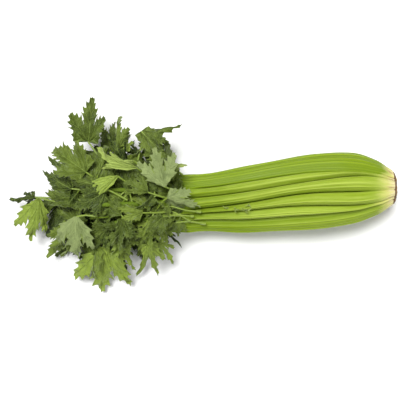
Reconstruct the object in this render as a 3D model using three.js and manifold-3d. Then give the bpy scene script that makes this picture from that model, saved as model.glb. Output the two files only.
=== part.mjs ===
// A head of celery lying on its side: a cut crown, whorls of crescent stalks and a tuft of lobed leaves.
// Millimetres, +Z up. The cut base faces +X, the leaves point to -X, and the head rests on the plane z = 0.
// "Reach" is the distance from the cut face towards the leaves.

import * as THREE from 'three';
import { mergeVertices } from 'three/addons/utils/BufferGeometryUtils.js';
import Module from 'manifold-3d';

const wasm = await Module();
wasm.setup();
const { clamp, degToRad, lerp, radToDeg, smoothstep } = THREE.MathUtils;

// Everything stays on or above the surface that the head lies on, and pieces that touch keep this gap.
const FLOOR = 0;
const GAP = 0.35;

// The crown: a cut plate with the cone of the short stem behind it.
const CROWN = { radius: 18.5, rim: 1.5, plate: 3, coreRadius: 9, coreTip: 3.5, length: 30, sides: 24 };

// The bundle of stalks: half width, half height and centre line, each at a few reaches.
const BUNDLE_REACHES = [0, 10, 22, 42, 64, 97, 164, 230, 290, 360];
const halfWidth = profile(BUNDLE_REACHES, [18.5, 23.5, 31, 38, 41, 41, 36.6, 32, 40, 52]);
const halfHeight = profile(BUNDLE_REACHES, [18.5, 22.5, 28, 34, 37, 37, 33.5, 29.5, 34, 36]);
const sideways = profile([0, 42, 97, 164, 230, 360], [13.3, 12.7, 7.8, 2.2, -2.2, -6]);
const centreHeight = profile([0, 42, 64, 97, 164, 230, 290, 360], [33, 33.5, 34.8, 34.8, 31.3, 27.3, 36, 42]);

// Past the knee each stalk closes up into a round rod that carries its leaves.
const KNEE = 228;
const NECK = 34;
const ROD_RADIUS = 4.2;
const ROD_TIP_RADIUS = 2;

// Reaches of the rings along a stalk, closer together at the crown and at the knee.
const STATIONS = [10, 20, 31, 44, 60, 85, 120, 165, 205, KNEE, KNEE + 12, KNEE + 24, KNEE + 36];
const CLOSEST_TO_START = 3;
const CLOSEST_TO_TIP = 8;

// Where neighbouring outer stalks meet, in degrees around the bundle from +Y over the top, along the reach.
const SEAM_REACHES = [0, 38, 100, 230];
const SEAMS = [
  [-13, -13, -13, -13],
  [58, 60, 52, 52],
  [66, 65, 69, 76],
  [96, 97, 91, 105],
  [122, 123, 113, 112],
  [131, 131, 134, 134],
  [188, 188, 188, 188],
  [216, 216, 218, 218],
  [242, 242, 243, 243],
  [270, 270, 270, 270],
  [298, 298, 297, 297],
  [322, 322, 322, 322],
  [347, 347, 347, 347],
];

// Outer whorl: how far out of the bundle each stalk's back stands, and the reach of its rod.
const OUTER = [
  { name: 'stalk_outer_a', back: 1.0, tip: 320 },
  { name: 'stalk_outer_b', back: 0.94, tip: 315 },
  { name: 'stalk_outer_c', back: 0.98, tip: 335 },
  { name: 'stalk_outer_d', back: 1.0, tip: 330 },
  { name: 'stalk_outer_e', back: 0.95, tip: 312 },
  { name: 'stalk_outer_f', back: 0.99, tip: 310 },
  { name: 'stalk_outer_g', back: 0.98, tip: 325 },
  { name: 'stalk_outer_h', back: 1.0, tip: 318 },
  { name: 'stalk_outer_i', back: 1.0, tip: 330 },
  { name: 'stalk_outer_j', back: 0.98, tip: 322 },
  { name: 'stalk_outer_k', back: 0.99, tip: 316 },
  { name: 'stalk_outer_l', back: 0.97, tip: 324 },
];
const OUTER_SHAPE = { wall: 0.2, round: 0.1 };
const BROAD_STALK = 50;

// Inner whorl and heart: younger stalks that start further up the stem.
const INNER = { count: 5, start: 14, back: 0.58, turn: 20, tip: 345, shorter: 8, wall: 0.16, round: 0.08 };
const HEART = { count: 3, start: 32, ring: 0.14, radius: 0.1, turn: 30, tip: 300, spread: 90, sides: 8 };

// Stalk walls are thicker near the crown, and half as thick at their edges.
const THICKER_BASE = 0.8;
const THICKER_REACH = 45;
const THINNER_EDGE = 0.5;

// A leaf: a thin petiolule, then a blade whose half widths are given along it as shares of the widest.
const BLADE_AT = [0, 0.12, 0.28, 0.42, 0.52, 0.66, 0.8, 0.92, 1];
const BLADE_HALF = [0.08, 0.5, 1, 0.85, 0.58, 0.7, 0.48, 0.24, 0.04];
const BLADE_THICK = 1.6;
const PETIOLULE = 1.3;
const PETIOLULE_TAPER = 0.7;
const FORWARD_RUN = 30;
const BACKWARD_RUN = 12;
const ARCH = 0.12;
const DROOP = 0.22;

// Leaves, from the lowest up: the stalk each grows on, its blade's foot and tip, and the blade's width.
// Feet and tips are [reach, sideways, height].
const LEAVES = [
  { name: 'leaf_under_1', on: 'stalk_outer_i', foot: [375, -2, 20], tip: [420, -25, 3], width: 40 },
  { name: 'leaf_under_2', on: 'stalk_outer_k', foot: [365, 30, 22], tip: [395, 50, 3], width: 34 },
  { name: 'leaf_under_3', on: 'stalk_outer_l', foot: [320, 58, 18], tip: [312, 92, 1], width: 36 },
  { name: 'leaf_under_4', on: 'stalk_outer_l', foot: [276, 55, 18], tip: [262, 82, 1], width: 34 },
  { name: 'leaf_under_5', on: 'stalk_outer_h', foot: [310, -45, 16], tip: [328, -84, 1], width: 40 },
  { name: 'leaf_under_6', on: 'stalk_outer_h', foot: [350, -38, 16], tip: [382, -64, 1], width: 36 },
  { name: 'leaf_under_7', on: 'stalk_outer_h', foot: [275, -38, 14], tip: [282, -70, 1], width: 32 },
  { name: 'leaf_under_8', on: 'stalk_outer_j', foot: [340, 12, 12], tip: [385, 14, 2], width: 44 },
  { name: 'leaf_low_1', on: 'stalk_outer_g', foot: [268, -45, 32], tip: [290, -88, 12], width: 26 },
  { name: 'leaf_low_2', on: 'stalk_outer_g', foot: [360, -30, 38], tip: [390, -64, 20], width: 30 },
  { name: 'leaf_low_3', on: 'stalk_inner_4', foot: [402, 3, 28], tip: [433, 0, 20], width: 20 },
  { name: 'leaf_low_4', on: 'stalk_outer_f', foot: [322, -52, 40], tip: [330, -105, 14], width: 52 },
  { name: 'leaf_low_5', on: 'stalk_outer_f', foot: [304, -54, 52], tip: [288, -78, 40], width: 24 },
  { name: 'leaf_side_1', on: 'stalk_outer_f', foot: [262, -46, 44], tip: [246, -74, 22], width: 18 },
  { name: 'leaf_side_2', on: 'stalk_outer_f', foot: [274, -48, 58], tip: [264, -84, 28], width: 18 },
  { name: 'leaf_side_3', on: 'stalk_inner_3', foot: [394, 2, 44], tip: [407, -50, 30], width: 46 },
  { name: 'leaf_side_4', on: 'stalk_outer_a', foot: [340, 64, 44], tip: [334, 113, 50], width: 38 },
  { name: 'leaf_side_5', on: 'stalk_outer_l', foot: [300, 50, 40], tip: [302, 80, 36], width: 24 },
  { name: 'leaf_side_6', on: 'stalk_outer_a', foot: [306, 58, 50], tip: [309, 92, 54], width: 34 },
  { name: 'leaf_side_7', on: 'stalk_outer_a', foot: [276, 70, 50], tip: [236, 83, 50], width: 22 },
  { name: 'leaf_mid_1', on: 'stalk_inner_3', foot: [352, 2, 52], tip: [390, 4, 46], width: 32 },
  { name: 'leaf_mid_2', on: 'stalk_inner_1', foot: [356, 12, 60], tip: [393, 32, 50], width: 40 },
  { name: 'leaf_mid_3', on: 'stalk_inner_1', foot: [340, 30, 62], tip: [374, 54, 58], width: 42 },
  { name: 'leaf_mid_4', on: 'stalk_outer_e', foot: [276, -32, 64], tip: [284, -56, 58], width: 26 },
  { name: 'leaf_mid_5', on: 'stalk_outer_e', foot: [318, -28, 56], tip: [330, -58, 48], width: 20 },
  { name: 'leaf_mid_6', on: 'stalk_outer_e', foot: [304, -38, 70], tip: [292, -60, 64], width: 26 },
  { name: 'leaf_mid_7', on: 'stalk_outer_d', foot: [350, -18, 62], tip: [355, -68, 48], width: 44 },
  { name: 'leaf_front_1', on: 'stalk_outer_d', foot: [252, 2, 72], tip: [222, -7, 66], width: 28 },
  { name: 'leaf_front_2', on: 'stalk_outer_a', foot: [256, 26, 70], tip: [230, 37, 66], width: 20 },
  { name: 'leaf_high_1', on: 'stalk_outer_c', foot: [324, 15, 72], tip: [360, 24, 68], width: 26 },
  { name: 'leaf_high_2', on: 'stalk_outer_a', foot: [254, 42, 66], tip: [280, 74, 64], width: 28 },
  { name: 'leaf_high_3', on: 'stalk_outer_b', foot: [288, 42, 66], tip: [322, 34, 68], width: 28 },
  { name: 'leaf_high_4', on: 'stalk_outer_d', foot: [300, -20, 78], tip: [298, -52, 72], width: 32 },
  { name: 'leaf_high_5', on: 'stalk_outer_d', foot: [278, -14, 74], tip: [306, -6, 84], width: 24 },
  { name: 'leaf_high_6', on: 'stalk_outer_c', foot: [304, 25, 78], tip: [343, 2, 76], width: 32 },
  { name: 'leaf_high_7', on: 'stalk_outer_c', foot: [272, 8, 80], tip: [296, 22, 86], width: 28 },
  { name: 'leaf_high_8', on: 'stalk_outer_b', foot: [284, 34, 82], tip: [330, 53, 82], width: 38 },
  { name: 'leaf_top_1', on: 'stalk_outer_b', foot: [254, 14, 80], tip: [262, 44, 82], width: 30 },
  { name: 'leaf_top_2', on: 'stalk_outer_e', foot: [256, -18, 78], tip: [274, -34, 84], width: 26 },
];
const YOUNG_LEAVES = new Set(['leaf_front_2', 'leaf_side_5', 'leaf_high_3', 'leaf_high_8']);

// A leaf is lifted in small steps, its foot a little less than its tip, until it lies clear of those below.
const LIFT_STEP = 2.5;
const LIFT_TRIES = 24;
const FOOT_LIFT = 0.7;

const LOOKS = {
  crown: { color: 0xd9cf9c, roughness: 0.7, metalness: 0 },
  stalk: { color: 0x9fb845, roughness: 0.42, metalness: 0 },
  heart: { color: 0xd4dc86, roughness: 0.45, metalness: 0 },
  leaf: { color: 0x5b6a2d, roughness: 0.55, metalness: 0 },
  young: { color: 0xa9bf58, roughness: 0.55, metalness: 0 },
};

// A smooth curve through values given at a few reaches.
function profile(reaches, values) {
  const spline = new THREE.CubicInterpolant(reaches, values, 1);
  const last = reaches[reaches.length - 1];
  return (reach) => spline.evaluate(clamp(reach, reaches[0], last))[0];
}

// A point of the bundle: share 0 is its centre line and share 1 its skin, which is flat where it lies.
function bundlePoint(reach, degrees, share) {
  const angle = degToRad(degrees);
  const y = sideways(reach) + halfWidth(reach) * share * Math.cos(angle);
  const z = centreHeight(reach) + halfHeight(reach) * share * Math.sin(angle);
  return new THREE.Vector3(-reach, y, Math.max(z, FLOOR));
}

// Turns every face over when the solid is inside out.
function outward(geometry) {
  const index = geometry.getIndex().array;
  if (signedVolume(geometry) < 0) {
    for (let i = 0; i < index.length; i += 3) [index[i], index[i + 1]] = [index[i + 1], index[i]];
  }
  return geometry;
}

function signedVolume(geometry) {
  const position = geometry.getAttribute('position');
  const index = geometry.getIndex().array;
  const corners = [new THREE.Vector3(), new THREE.Vector3(), new THREE.Vector3()];
  let volume = 0;
  for (let i = 0; i < index.length; i += 3) {
    corners.forEach((corner, k) => corner.fromBufferAttribute(position, index[i + k]));
    volume += corners[0].dot(corners[1].cross(corners[2])) / 6;
  }
  return volume;
}

// Joins rings of equal length into a closed solid. A ring runs out along one side and back along the other,
// so that an end is closed by a strip between its two sides.
function loft(rings) {
  const count = rings[0].length;
  const end = (rings.length - 1) * count;
  const index = [];
  for (let first = 0; first < end; first += count) {
    for (let i = 0; i < count; i++) {
      const a = first + i;
      const b = first + ((i + 1) % count);
      index.push(a, a + count, b, b, a + count, b + count);
    }
  }
  for (let i = 0; i + 1 < count / 2; i++) {
    const far = count - 1 - i;
    index.push(i, i + 1, far, i + 1, far - 1, far);
    index.push(end + i, end + far, end + i + 1, end + i + 1, end + far, end + far - 1);
  }
  const positions = rings.flat().flatMap((point) => point.toArray());
  const geometry = new THREE.BufferGeometry();
  geometry.setAttribute('position', new THREE.Float32BufferAttribute(positions, 3));
  geometry.setIndex(index);
  return outward(geometry);
}

function crownGeometry() {
  const outline = [
    [0, 0],
    [CROWN.radius - CROWN.rim, 0],
    [CROWN.radius, CROWN.rim],
    [CROWN.radius, CROWN.plate],
    [CROWN.coreRadius, CROWN.plate],
    [CROWN.coreTip, CROWN.length],
    [0, CROWN.length],
  ].map(([radius, reach]) => new THREE.Vector2(radius, reach));
  const geometry = new THREE.LatheGeometry(outline, CROWN.sides).rotateZ(Math.PI / 2);
  geometry.translate(0, sideways(0), centreHeight(0));
  geometry.deleteAttribute('normal');
  geometry.deleteAttribute('uv');
  return outward(mergeVertices(geometry, 1e-3));
}

// The rod that a stalk narrows into beyond its knee.
function rodRadius(reach, tip) {
  return lerp(ROD_RADIUS, ROD_TIP_RADIUS, clamp((reach - KNEE) / (tip - KNEE), 0, 1));
}

// A point between two seams that keeps the gap to the neighbour in millimetres.
function seamPoint(reach, middle, half, across, share) {
  const radius = (share * (halfWidth(reach) + halfHeight(reach))) / 2;
  const narrowest = 0.5;
  const reduced = Math.max(half - radToDeg(GAP / radius), narrowest);
  return bundlePoint(reach, middle + across * reduced, share);
}

// One crescent ring of a stalk, between two seams; beyond the knee it closes up into a round rod.
function crescentRing(stalk, reach) {
  const middle = (stalk.to(reach) + stalk.from(reach)) / 2;
  const half = (stalk.to(reach) - stalk.from(reach)) / 2;
  const wall = stalk.wall * (1 + THICKER_BASE * clamp(1 - reach / THICKER_REACH, 0, 1));
  const outer = [];
  const inner = [];
  for (let i = 0; i <= stalk.steps; i++) {
    const across = (2 * i) / stalk.steps - 1;
    const back = stalk.back - stalk.round * across * across;
    const front = back - wall * (1 - THINNER_EDGE * across * across);
    outer.push(seamPoint(reach, middle, half, across, back));
    inner.unshift(seamPoint(reach, middle, half, across, front));
  }
  const centre = bundlePoint(reach, middle, stalk.back - wall / 2);
  const closing = smoothstep(reach, KNEE, KNEE + NECK);
  return [...outer, ...inner].map((point) => {
    const onRod = point.clone().sub(centre).setLength(rodRadius(reach, stalk.tip)).add(centre);
    point.lerp(onRod, closing);
    return point.setZ(Math.max(point.z, FLOOR));
  });
}

// One round ring of a heart stalk.
function heartRing(stalk, reach) {
  const past = Math.max(reach - KNEE, 0);
  const centre = bundlePoint(reach, stalk.angle, HEART.ring * (1 + past / HEART.spread));
  const full = HEART.radius * halfHeight(Math.min(reach, KNEE));
  const radius = lerp(full, ROD_TIP_RADIUS, past / (HEART.tip - KNEE));
  return Array.from({ length: HEART.sides }, (_, i) => {
    const angle = (i / HEART.sides) * 2 * Math.PI;
    const [y, z] = [radius * Math.cos(angle), radius * Math.sin(angle)];
    return new THREE.Vector3(-reach, centre.y + y, centre.z + z);
  });
}

function outerStalks() {
  const seams = SEAMS.map((angles) => profile(SEAM_REACHES, angles));
  return OUTER.map((stalk, i) => ({
    ...stalk,
    ...OUTER_SHAPE,
    from: seams[i],
    to: seams[i + 1],
    start: CROWN.plate + GAP,
    steps: SEAMS[i + 1][0] - SEAMS[i][0] > BROAD_STALK ? 6 : 4,
  }));
}

function innerStalks() {
  const turn = 360 / INNER.count;
  return Array.from({ length: INNER.count }, (_, i) => ({
    ...INNER,
    name: `stalk_inner_${i + 1}`,
    from: () => INNER.turn + turn * i,
    to: () => INNER.turn + turn * (i + 1),
    steps: 4,
    tip: INNER.tip - INNER.shorter * i,
  }));
}

function heartStalks() {
  return Array.from({ length: HEART.count }, (_, i) => ({
    ...HEART,
    name: `stalk_heart_${i + 1}`,
    angle: HEART.turn + (360 / HEART.count) * i,
  }));
}

function stalkGeometry(stalk, ringAt) {
  const between = (reach) => reach > stalk.start + CLOSEST_TO_START && reach < stalk.tip - CLOSEST_TO_TIP;
  const inside = STATIONS.filter(between);
  const onRod = (inside[inside.length - 1] + stalk.tip) / 2;
  return loft([stalk.start, ...inside, onRod, stalk.tip].map((reach) => ringAt(stalk, reach)));
}

// Where a leaf leaves its stalk: just off the stalk's skin, on the side that faces the leaf's foot. A leaf
// that points along the stalk starts well before its foot, and one that hangs back starts past it.
function leafStart(stalk, foot, tip) {
  const heading = (foot.x - tip.x) / foot.distanceTo(tip);
  const run = lerp(-BACKWARD_RUN, FORWARD_RUN, (heading + 1) / 2);
  const reach = clamp(-foot.x - run, KNEE + CLOSEST_TO_TIP, stalk.tip - CLOSEST_TO_START);
  const ring = crescentRing(stalk, reach);
  const centre = ring.reduce((sum, point) => sum.add(point), new THREE.Vector3()).divideScalar(ring.length);
  const away = foot.clone().sub(centre).setX(0).normalize();
  const nearby = [-CLOSEST_TO_TIP, 0, CLOSEST_TO_TIP].flatMap((step) => crescentRing(stalk, reach + step));
  const skin = Math.max(...nearby.map((point) => point.clone().sub(centre).dot(away)));
  return centre.addScaledVector(away, skin + GAP + PETIOLULE);
}

// A flat four-sided ring across a leaf: left edge, top, right edge, underside. Its edges droop.
function leafRing(curve, at, half, thick, margin) {
  const along = curve.getTangent(at);
  const side = new THREE.Vector3().crossVectors(along, new THREE.Vector3(0, 0, 1)).normalize();
  const up = new THREE.Vector3().crossVectors(side, along).normalize();
  const droop = half > PETIOLULE ? DROOP * half : 0;
  const corner = (across, height, lowest) => {
    const point = curve.getPoint(at).addScaledVector(side, across).addScaledVector(up, height);
    return point.setZ(Math.max(point.z, lowest));
  };
  return [
    corner(-half - margin, -droop, FLOOR),
    corner(0, thick + margin, FLOOR + thick),
    corner(half + margin, -droop, FLOOR),
    corner(0, -thick - margin, FLOOR),
  ];
}

// A leaf's closed solid, lifted off its neighbours; the margin thickens it to test the gap around it.
function leafGeometry(leaf, stalk, lift, margin) {
  const foot = new THREE.Vector3(-leaf.foot[0], leaf.foot[1], leaf.foot[2] + lift * FOOT_LIFT);
  const tip = new THREE.Vector3(-leaf.tip[0], leaf.tip[1], Math.max(leaf.tip[2] + lift, BLADE_THICK));
  const crest = foot.clone().lerp(tip, 0.5);
  crest.z += ARCH * foot.distanceTo(tip);
  const curve = new THREE.CatmullRomCurve3([leafStart(stalk, foot, tip), foot, crest, tip]);
  const footAt = 1 / 3;
  const stem = [0, footAt / 2].map((at) => leafRing(curve, at, PETIOLULE, PETIOLULE, margin));
  const blade = BLADE_AT.map((at, i) => {
    const half = Math.max((BLADE_HALF[i] * leaf.width) / 2, PETIOLULE * (1 - PETIOLULE_TAPER * at));
    return leafRing(curve, lerp(footAt, 1, at), half, BLADE_THICK / 2, margin);
  });
  return loft([...stem, ...blade]);
}

function solidOf(geometry) {
  const vertProperties = new Float32Array(geometry.getAttribute('position').array);
  const triVerts = new Uint32Array(geometry.getIndex().array);
  return new wasm.Manifold(new wasm.Mesh({ numProp: 3, vertProperties, triVerts }));
}

function boxOf(geometry) {
  return new THREE.Box3().setFromBufferAttribute(geometry.getAttribute('position'));
}

// True when a solid shares no space with any placed one.
function isClear(geometry, placed) {
  const box = boxOf(geometry);
  const near = placed.filter((other) => other.box.intersectsBox(box));
  if (near.length === 0) return true;
  const solid = solidOf(geometry);
  return near.every((other) => solid.intersect(other.solid).volume() < 1e-6);
}

const head = new THREE.Group();
const crown = new THREE.Group();
const stalks = new THREE.Group();
const leaves = new THREE.Group();
head.add(crown, stalks, leaves);
const placed = [];

function place(group, name, geometry, look) {
  const mesh = new THREE.Mesh(geometry, new THREE.MeshStandardMaterial({ ...look, flatShading: true }));
  mesh.name = name;
  group.add(mesh);
  placed.push({ solid: solidOf(geometry), box: boxOf(geometry) });
}

place(crown, 'crown', crownGeometry(), LOOKS.crown);

const stalkNamed = new Map();
for (const stalk of [...outerStalks(), ...innerStalks()]) {
  stalkNamed.set(stalk.name, stalk);
  place(stalks, stalk.name, stalkGeometry(stalk, crescentRing), LOOKS.stalk);
}
for (const stalk of heartStalks()) {
  place(stalks, stalk.name, stalkGeometry(stalk, heartRing), LOOKS.heart);
}

for (const leaf of LEAVES) {
  const stalk = stalkNamed.get(leaf.on);
  let lift = 0;
  for (let tries = 0; tries < LIFT_TRIES && !isClear(leafGeometry(leaf, stalk, lift, GAP), placed); tries++) {
    lift += LIFT_STEP;
  }
  const look = YOUNG_LEAVES.has(leaf.name) ? LOOKS.young : LOOKS.leaf;
  place(leaves, leaf.name, leafGeometry(leaf, stalk, lift, 0), look);
}

// The origin is under the middle of the head, on the surface that it lies on.
const bounds = new THREE.Box3().setFromObject(head);
const middle = bounds.getCenter(new THREE.Vector3());
head.position.set(-middle.x, -middle.y, -bounds.min.z);

export default head;
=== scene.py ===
import math
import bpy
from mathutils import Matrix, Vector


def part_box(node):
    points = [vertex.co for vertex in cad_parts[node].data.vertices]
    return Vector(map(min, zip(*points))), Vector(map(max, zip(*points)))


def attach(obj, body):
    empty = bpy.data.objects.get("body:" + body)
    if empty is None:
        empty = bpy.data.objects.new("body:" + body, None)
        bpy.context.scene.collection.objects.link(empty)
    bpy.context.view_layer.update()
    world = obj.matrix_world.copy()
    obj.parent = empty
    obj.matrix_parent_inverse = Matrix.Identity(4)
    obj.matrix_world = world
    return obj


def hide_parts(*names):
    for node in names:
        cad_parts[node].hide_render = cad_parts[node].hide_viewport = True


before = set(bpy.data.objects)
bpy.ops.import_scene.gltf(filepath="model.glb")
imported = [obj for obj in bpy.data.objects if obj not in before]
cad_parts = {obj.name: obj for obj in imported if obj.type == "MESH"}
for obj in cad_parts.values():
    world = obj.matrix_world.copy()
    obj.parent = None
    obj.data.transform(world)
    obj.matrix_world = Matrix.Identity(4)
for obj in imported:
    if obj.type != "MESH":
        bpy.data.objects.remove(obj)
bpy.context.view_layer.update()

from types import SimpleNamespace

import bpy
import numpy as np
from mathutils import Vector

# ---- The crown ------------------------------------------------------------------------------------
# The short stem that every stalk grows from, cut square by the harvest knife. Its face is pale and
# fibrous, and the rim has dried brown. It reaches a little way between the stalks as a cone.

crown_low, crown_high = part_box("crown")
CUT_X = crown_high.x
CROWN_CENTRE = (crown_low + crown_high) / 2
CROWN_RADIUS = (crown_high.z - crown_low.z) / 2
CROWN_SIDES = 96
RIM_ROUND = 0.0012
FACE_RINGS = 7
FACE_SKIN = 0.0015
FACE_SUNK = 0.0008
FACE_DOME = 0.0012
COLLAR_DEPTH = 0.003
CONE_RADIUS = 0.009
CONE_LENGTH = 0.027
CONE_TAPER = 0.4
RING_SPACING = 0.0052
VEIN_DOTS = 480


def deselect():
    bpy.ops.object.select_all(action="DESELECT")


def go_to(mode):
    bpy.ops.object.mode_set(mode=mode)


def select_faces(piece, wanted):
    """In edit mode with only the faces whose centre and normal pass the test selected."""
    go_to("EDIT")
    bpy.ops.mesh.select_mode(type="FACE")
    bpy.ops.mesh.select_all(action="DESELECT")
    go_to("OBJECT")
    for face in piece.data.polygons:
        face.select = wanted(face.center, face.normal)
    go_to("EDIT")


def node_group(name, inputs, outputs):
    """A new shader node group: inputs are (name, socket, value) and outputs are (name, socket)."""
    group = bpy.data.node_groups.new(name, "ShaderNodeTree")
    for label, kind, value in inputs:
        socket = group.interface.new_socket(label, in_out="INPUT", socket_type=kind)
        if value is not None:
            socket.default_value = value
    for label, kind in outputs:
        group.interface.new_socket(label, in_out="OUTPUT", socket_type=kind)
    return group


class Nodes:
    """Short ways to add nodes to a material's or a group's tree."""

    def __init__(self, tree):
        self.tree = tree

    def add(self, kind, **settings):
        node = self.tree.nodes.new(kind)
        for key, value in settings.items():
            setattr(node, key, value)
        return node

    def link(self, source, target):
        if isinstance(source, (int, float, tuple)):
            target.default_value = source
        else:
            self.tree.links.new(source, target)

    def math(self, operation, a, b=0.0, clamp=False):
        node = self.add("ShaderNodeMath", operation=operation, use_clamp=clamp)
        self.link(a, node.inputs[0])
        self.link(b, node.inputs[1])
        return node.outputs[0]

    def plus(self, a, b, clamp=False):
        return self.math("ADD", a, b, clamp)

    def times(self, a, b, clamp=False):
        return self.math("MULTIPLY", a, b, clamp)

    def sway(self, noise, amount):
        """Noise becomes a shift of up to half the amount either way."""
        return self.times(self.math("SUBTRACT", noise, 0.5), amount)

    def split(self, vector):
        node = self.add("ShaderNodeSeparateXYZ")
        self.link(vector, node.inputs[0])
        return node.outputs

    def mark(self, name):
        """A value that each point of the mesh carries."""
        return self.add("ShaderNodeAttribute", attribute_name=name).outputs["Fac"]

    def ramp(self, value, low, high, to_low=0.0, to_high=1.0):
        """Value from low to high, eased and clamped, becomes to_low to to_high."""
        node = self.add("ShaderNodeMapRange", interpolation_type="SMOOTHSTEP")
        for socket, number in zip(node.inputs[1:5], (low, high, to_low, to_high)):
            self.link(number, socket)
        self.link(value, node.inputs[0])
        return node.outputs[0]

    def mix(self, factor, a, b):
        node = self.add("ShaderNodeMix", data_type="RGBA")
        self.link(factor, node.inputs[0])
        self.link(a, node.inputs[6])
        self.link(b, node.inputs[7])
        return node.outputs[2]

    def noise(self, vector, scale, detail=3.0, roughness=0.5):
        node = self.add("ShaderNodeTexNoise")
        self.link(vector, node.inputs["Vector"])
        node.inputs["Scale"].default_value = scale
        node.inputs["Detail"].default_value = detail
        node.inputs["Roughness"].default_value = roughness
        return node.outputs[0]

    def stretch(self, vector, scale, location=(0, 0, 0)):
        node = self.add("ShaderNodeMapping")
        self.link(vector, node.inputs["Vector"])
        node.inputs["Scale"].default_value = scale
        node.inputs["Location"].default_value = location
        return node.outputs[0]

    def bump(self, height, distance, strength=1.0):
        node = self.add("ShaderNodeBump")
        node.inputs["Strength"].default_value = strength
        node.inputs["Distance"].default_value = distance
        self.link(height, node.inputs["Height"])
        return node.outputs[0]


def new_material(name, roughness=0.5):
    """A material with its Principled shader and the helper for its tree."""
    material = bpy.data.materials.new(name)
    material.use_nodes = True
    nodes = Nodes(material.node_tree)
    shader = material.node_tree.nodes["Principled BSDF"]
    shader.inputs["Roughness"].default_value = roughness
    return material, nodes, shader


def grow(piece, slot, *replaced):
    """Every piece of the head lies still on the one body and stands for its CAD nodes, which it hides."""
    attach(piece, "root")
    if replaced:
        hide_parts(*replaced)


def cut_face_material():
    """Pale damp pith with darker vein ends in rings, a browned rim, and a side dried dark brown."""
    material, nodes, shader = new_material("crown_cut_face", 0.6)
    place = nodes.add("ShaderNodeTexCoord").outputs["Object"]
    centred = nodes.stretch(place, (1, 1, 1), (-CUT_X, -CROWN_CENTRE.y, -CROWN_CENTRE.z))
    depth, y, z = nodes.split(centred)
    radius = nodes.math("SQRT", nodes.plus(nodes.times(y, y), nodes.times(z, z)))
    edge = nodes.plus(radius, nodes.sway(nodes.noise(centred, 220, 4, 0.6), 0.007))
    pith = nodes.mix(nodes.noise(centred, 700, 5, 0.7), (0.80, 0.68, 0.33, 1), (0.93, 0.84, 0.52, 1))
    rings = nodes.math("SINE", nodes.times(edge, 2 * math.pi / RING_SPACING))
    dots = nodes.add("ShaderNodeTexVoronoi")
    nodes.link(nodes.stretch(centred, (0.05, 1, 1)), dots.inputs["Vector"])
    dots.inputs["Scale"].default_value = VEIN_DOTS
    vein = nodes.times(nodes.ramp(dots.outputs["Distance"], 0.2, 0.42, 1, 0), nodes.ramp(rings, 0.1, 0.7))
    face = nodes.mix(nodes.times(vein, 0.65), pith, (0.44, 0.37, 0.13, 1))
    dried = nodes.mix(nodes.noise(centred, 500, 4, 0.6), (0.07, 0.035, 0.014, 1), (0.28, 0.16, 0.06, 1))
    face = nodes.mix(nodes.ramp(edge, CROWN_RADIUS * 0.86, CROWN_RADIUS * 1.03), face, dried)
    fibre = nodes.noise(nodes.stretch(centred, (60, 900, 900)), 1.0, 4, 0.7)
    side = nodes.mix(nodes.ramp(fibre, 0.45, 0.65), (0.15, 0.07, 0.022, 1), (0.03, 0.017, 0.008, 1))
    at_cut = nodes.ramp(depth, -0.0017, -0.0008)
    nodes.link(nodes.mix(at_cut, side, face), shader.inputs["Base Color"])
    grain = nodes.noise(nodes.stretch(centred, (0.2, 1, 1)), 1500, 6, 0.7)
    nodes.link(nodes.bump(nodes.plus(grain, nodes.times(vein, -0.8)), 0.0006), shader.inputs["Normal"])
    return material


deselect()
bpy.ops.mesh.primitive_cylinder_add(
    vertices=CROWN_SIDES,
    radius=CROWN_RADIUS,
    depth=CUT_X - crown_low.x,
    location=CROWN_CENTRE,
    rotation=(0, math.pi / 2, 0),
)
crown = bpy.context.object
crown.name = "crown_stem"
bpy.ops.object.transform_apply(location=True, rotation=True)
select_faces(crown, lambda centre, normal: normal.x < -0.9)
bpy.ops.transform.translate(value=(CUT_X - crown_low.x - COLLAR_DEPTH, 0, 0))
bpy.ops.mesh.inset(thickness=CROWN_RADIUS - CONE_RADIUS)
bpy.ops.mesh.extrude_region_move(TRANSFORM_OT_translate={"value": (-CONE_LENGTH, 0, 0)})
bpy.ops.transform.resize(value=(1, CONE_TAPER, CONE_TAPER))
select_faces(crown, lambda centre, normal: normal.x > 0.9)
bpy.ops.mesh.bevel(offset=RIM_ROUND, segments=3, affect="EDGES")
select_faces(crown, lambda centre, normal: normal.x > 0.9)
for ring in range(FACE_RINGS):
    bpy.ops.mesh.inset(thickness=CROWN_RADIUS / (FACE_RINGS + 1.5))
go_to("OBJECT")
for vertex in crown.data.vertices:
    out = Vector((0, vertex.co.y - CROWN_CENTRE.y, vertex.co.z - CROWN_CENTRE.z))
    if vertex.co.x > CUT_X - FACE_SKIN:
        turn = math.atan2(out.z, out.y)
        uneven = 0.0004 * math.sin(7 * turn + 90 * out.length) + 0.0003 * math.sin(13 * turn + 1)
        vertex.co.x += uneven - FACE_SUNK + FACE_DOME * (1 - (out.length / CROWN_RADIUS) ** 2)
crown.data.materials.append(cut_face_material())
bpy.ops.object.shade_smooth()
grow(crown, "crown", "crown")


# ---- The stalks -----------------------------------------------------------------------------------
# Petioles: long crescent gutters of crisp flesh, ribbed outside by strings that run their whole
# length. They are pale where they join the crown and narrow past the knee into rods that carry leaves.

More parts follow.
